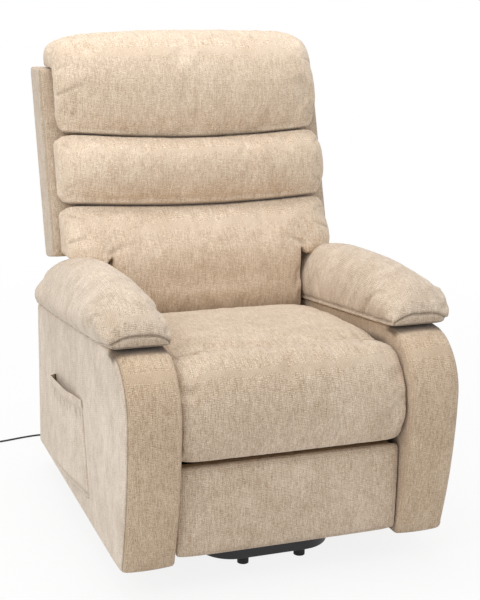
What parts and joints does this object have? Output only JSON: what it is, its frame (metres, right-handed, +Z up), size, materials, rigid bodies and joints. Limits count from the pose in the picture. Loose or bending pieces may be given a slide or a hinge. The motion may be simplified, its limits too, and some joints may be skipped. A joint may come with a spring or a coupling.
{
  "type": "lift recliner chair",
  "caption": "Powered lift recliner: upholstered seat, cushioned back and padded arms on a linkage base, with actuators for stand-up lift, footrest and recline.",
  "frame": {"origin": "on the floor, under the middle of the chair's overall width and depth in the upright rest pose, the mains cord not counted", "axes": "+X to the sitter's left, +Y to the back, +Z up; the seat faces -Y"},
  "size_m": [1.0178, 1.0271, 1.0968],
  "materials": {
    "upholstery": "woven chenille",
    "plywood": "raw",
    "base_steel": "satin black",
    "mechanism_steel": "satin black",
    "bright_steel": "zinc plated",
    "rod_steel": "polished",
    "motor_plastic": "fine grain",
    "cord_plastic": "smooth",
    "foot_rubber": "matt",
    "handset_plastic": "fine grain",
    "button_plastic": "matt"
  },
  "bodies": {
    "base": {"base_tube": "base_steel", "base_rear_tube": "base_steel", "base_feet": "foot_rubber", "base_link_beam": "base_steel", "base_ears": "base_steel", "base_link_pins": "bright_steel", "lift_motor_bracket": "base_steel", "power_supply": "cord_plastic", "cord_gland": "cord_plastic", "mains_cord": "cord_plastic", "cord_coil": "cord_plastic", "mains_plug": "cord_plastic"},
    "front_lift_links": {"front_lift_links": "mechanism_steel", "lift_torque_tube": "mechanism_steel", "lift_crank": "mechanism_steel"},
    "rear_lift_links": {"rear_lift_links": "mechanism_steel"},
    "lift_motor": {"lift_motor": "motor_plastic"},
    "lift_rod": {"lift_rod": "rod_steel"},
    "lift_frame": {"mechanism_plates": "mechanism_steel", "mechanism_pins": "bright_steel", "cross_tubes": "mechanism_steel", "rear_rail": "plywood", "seat_frame": "plywood", "seat_springs": "bright_steel", "seat_cushion": "upholstery", "seat_bolster": "upholstery", "arm_left": "upholstery", "arm_right": "upholstery", "arm_frame_left": "plywood", "arm_frame_right": "plywood", "arm_pad_left": "upholstery", "arm_pad_right": "upholstery", "side_pocket": "upholstery", "footrest_motor_bracket": "mechanism_steel", "back_motor_bracket": "mechanism_steel"},
    "footrest_inner_links": {"footrest_inner_links": "mechanism_steel", "footrest_torque_tube": "mechanism_steel", "footrest_crank": "mechanism_steel", "footrest_knee_pins": "bright_steel"},
    "footrest_outer_links": {"footrest_outer_links": "mechanism_steel"},
    "footrest_panel": {"footrest_board": "plywood", "footrest_brackets": "mechanism_steel", "footrest_head_pins": "bright_steel", "footrest_pad": "upholstery"},
    "footrest_motor": {"footrest_motor": "motor_plastic"},
    "footrest_rod": {"footrest_rod": "rod_steel"},
    "back": {"back_shell": "upholstery", "back_frame": "plywood", "head_cushion": "upholstery", "middle_cushion": "upholstery", "lower_cushion": "upholstery", "back_brackets": "mechanism_steel", "back_crank": "mechanism_steel", "back_torque_tube": "mechanism_steel"},
    "back_motor": {"back_motor": "motor_plastic"},
    "back_rod": {"back_rod": "rod_steel"},
    "handset": {"handset_case": "handset_plastic"},
    "button_up": {"button_up": "button_plastic"},
    "button_down": {"button_down": "button_plastic"}
  },
  "joints": [
    {"name": "lift", "type": "hinge", "parent": "base", "child": "front_lift_links", "pos_m": [0, -0.26227, 0.075], "axis": [1, 0, 0], "range_deg": [0, 73.5]},
    {"name": "chair_tilt", "type": "hinge", "parent": "front_lift_links", "child": "lift_frame", "pos_m": [0, -0.07226, 0.15], "axis": [1, 0, 0], "range_deg": [-47.5, 0]},
    {"name": "rear_link_swing", "type": "hinge", "parent": "base", "child": "rear_lift_links", "pos_m": [0, -0.1381, 0.075], "axis": [1, 0, 0], "range_deg": [0, 58.32]},
    {"name": "lift_motor_tilt", "type": "hinge", "parent": "base", "child": "lift_motor", "pos_m": [0, 0.27774, 0.062], "axis": [1, 0, 0], "range_deg": [-4.95, 0]},
    {"name": "lift_rod_slide", "type": "slide", "parent": "lift_motor", "child": "lift_rod", "axis": [0, -0.9958, 0.0911], "range_m": [0, 0.09185]},
    {"name": "footrest", "type": "hinge", "parent": "lift_frame", "child": "footrest_inner_links", "pos_m": [0, -0.24546, 0.2136], "axis": [-1, 0, 0], "range_deg": [0, 51.52]},
    {"name": "footrest_knee", "type": "hinge", "parent": "footrest_inner_links", "child": "footrest_outer_links", "pos_m": [0, -0.35756, 0.072], "axis": [-1, 0, 0], "range_deg": [-103.69, 0]},
    {"name": "footrest_turn", "type": "hinge", "parent": "footrest_outer_links", "child": "footrest_panel", "pos_m": [0, -0.37227, 0.252], "axis": [-1, 0, 0], "range_deg": [0, 142.18]},
    {"name": "footrest_motor_tilt", "type": "hinge", "parent": "lift_frame", "child": "footrest_motor", "pos_m": [0, 0.20273, 0.175], "axis": [-1, 0, 0], "range_deg": [0, 0.2156]},
    {"name": "footrest_rod_slide", "type": "slide", "parent": "footrest_motor", "child": "footrest_rod", "axis": [0, -0.9978, -0.0667], "range_m": [0, 0.06517]},
    {"name": "back_recline", "type": "hinge", "parent": "lift_frame", "child": "back", "pos_m": [0, 0.21274, 0.43], "axis": [-1, 0, 0], "range_deg": [0, 33]},
    {"name": "back_motor_tilt", "type": "hinge", "parent": "lift_frame", "child": "back_motor", "pos_m": [0, -0.16026, 0.208], "axis": [-1, 0, 0], "range_deg": [-8.24, 0]},
    {"name": "back_rod_slide", "type": "slide", "parent": "back_motor", "child": "back_rod", "axis": [0, 0.9983, 0.0589], "range_m": [-0.10406, 0]},
    {"name": "handset_lift", "type": "slide", "parent": "lift_frame", "child": "handset", "axis": [0, 0, 1], "range_m": [0, 0.208]},
    {"name": "up_press", "type": "slide", "parent": "handset", "child": "button_up", "axis": [1, 0, 0], "range_m": [0, 0.001], "stiffness_N_per_m": 600, "springref_m": -0.0005},
    {"name": "down_press", "type": "slide", "parent": "handset", "child": "button_down", "axis": [1, 0, 0], "range_m": [0, 0.001], "stiffness_N_per_m": 600, "springref_m": -0.0005}
  ],
  "couplings": [
    {"joint": "chair_tilt", "follows": "lift", "ratio": -0.64626},
    {"joint": "rear_link_swing", "follows": "lift", "ratio": 0.79346},
    {"joint": "lift_motor_tilt", "follows": "lift", "ratio": -0.067345},
    {"joint": "lift_rod_slide", "follows": "lift", "m_per_rad": 0.071603},
    {"joint": "footrest_knee", "follows": "footrest", "ratio": -2.0128},
    {"joint": "footrest_turn", "follows": "footrest", "ratio": 2.7598},
    {"joint": "footrest_motor_tilt", "follows": "footrest", "ratio": 0.0041855},
    {"joint": "footrest_rod_slide", "follows": "footrest", "m_per_rad": 0.072475},
    {"joint": "back_motor_tilt", "follows": "back_recline", "ratio": -0.2496},
    {"joint": "back_rod_slide", "follows": "back_recline", "m_per_rad": -0.18067}
  ]
}
